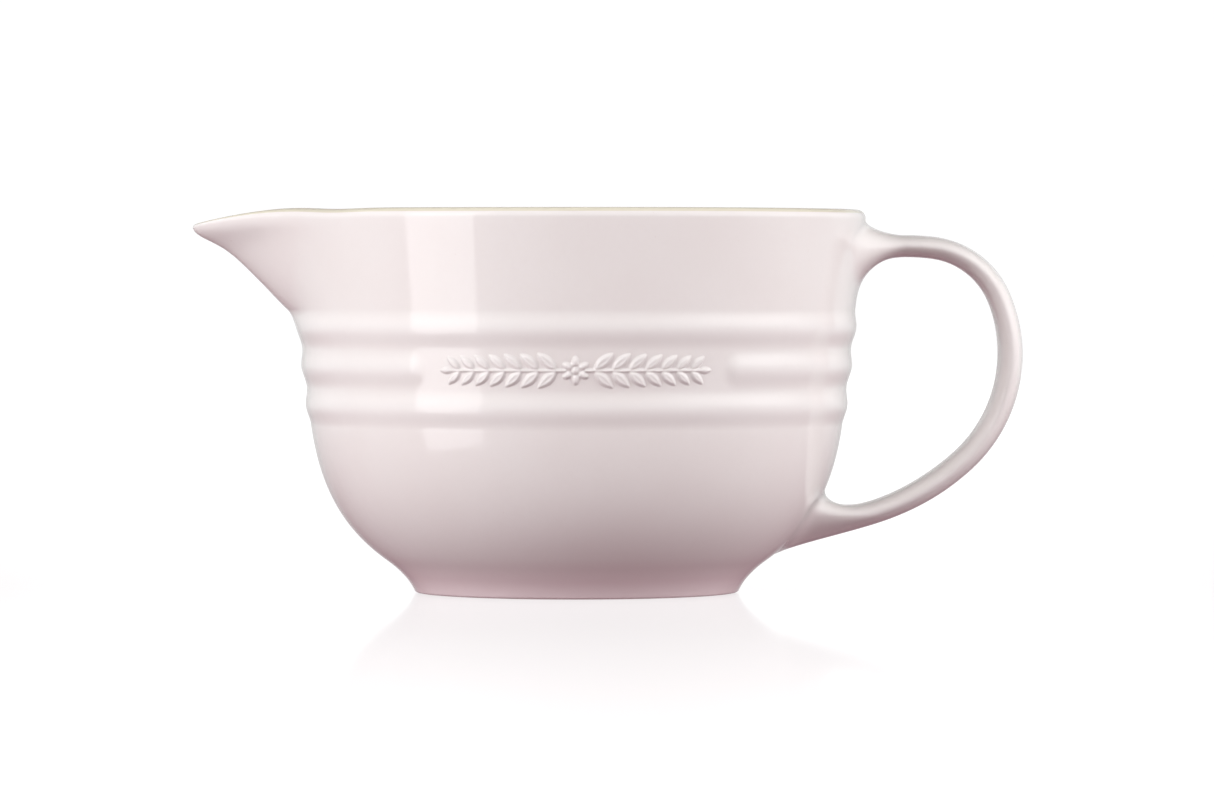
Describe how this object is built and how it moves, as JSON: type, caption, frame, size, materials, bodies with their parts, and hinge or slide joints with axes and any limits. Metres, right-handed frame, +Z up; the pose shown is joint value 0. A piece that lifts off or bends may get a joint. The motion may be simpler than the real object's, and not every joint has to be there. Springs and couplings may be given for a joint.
{
  "type": "mixing bowl",
  "caption": "Glazed stoneware mixing bowl with pouring spout, loop strap handle, raised bands, relief sprigs and a foot ring.",
  "frame": {"origin": "centre of the foot ring's resting plane, on the bowl's axis", "axes": "+Z up along the bowl's axis, +X towards the handle, -X towards the pouring spout, -Y towards the relief ornament"},
  "size_m": [0.2831, 0.197, 0.1309],
  "materials": {
    "stoneware": "bare fired stoneware, fine and slightly sandy",
    "pink_glaze": "glossy pale shell pink glaze",
    "cream_glaze": "glossy warm cream glaze"
  },
  "bodies": {
    "root": {"bowl_body": "stoneware", "pouring_spout": "stoneware", "foot_ring": "stoneware", "handle_strap": "stoneware", "handle_upper_joint": "stoneware", "handle_lower_joint": "stoneware", "relief_ornament": "stoneware", "exterior_glaze": "pink_glaze", "handle_glaze": "pink_glaze", "base_glaze": "pink_glaze", "rim_glaze": "cream_glaze", "interior_glaze": "cream_glaze"}
  },
  "joints": []
}
